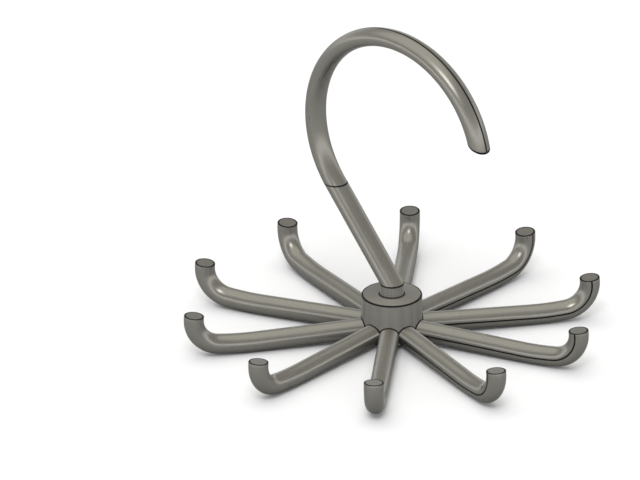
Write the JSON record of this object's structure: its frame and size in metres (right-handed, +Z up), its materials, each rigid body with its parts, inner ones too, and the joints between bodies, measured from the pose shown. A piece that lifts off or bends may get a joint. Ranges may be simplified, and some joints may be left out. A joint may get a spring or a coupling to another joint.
{
  "type": "tie hanger",
  "caption": "Tie hanger with bent steel rod arms fanned round a hub, upturned tips and an open bow hook on a swivel pin, hung from a closet rod",
  "frame": {"origin": "on the hub's axis, at the level of the surface that the arms' undersides stand on", "axes": "+Z up along the hub's axis, the hook's plane is XZ with the mouth of the bow towards +X, +Y along one of the arms"},
  "size_m": [0.1204, 0.1262, 0.1003],
  "materials": {
    "satin_steel": "satin drawn and turned steel",
    "bush_bronze": "sintered bronze",
    "washer_acetal": "natural acetal",
    "ring_spring_steel": "phosphated spring steel"
  },
  "bodies": {
    "carousel": {"hub": "satin_steel", "swivel_bush": "bush_bronze", "arm_01": "satin_steel", "arm_02": "satin_steel", "arm_03": "satin_steel", "arm_04": "satin_steel", "arm_05": "satin_steel", "arm_06": "satin_steel", "arm_07": "satin_steel", "arm_08": "satin_steel", "arm_09": "satin_steel", "arm_10": "satin_steel"},
    "hook": {"swivel_pin": "satin_steel", "thrust_washer": "washer_acetal", "retaining_ring": "ring_spring_steel", "hook_shank": "satin_steel", "hook_bow": "satin_steel"}
  },
  "joints": [
    {"name": "hook_swivel", "type": "hinge", "parent": "carousel", "child": "hook", "pos_m": [0, 0, 0.01426], "axis": [0, 0, 1], "continuous": true}
  ]
}
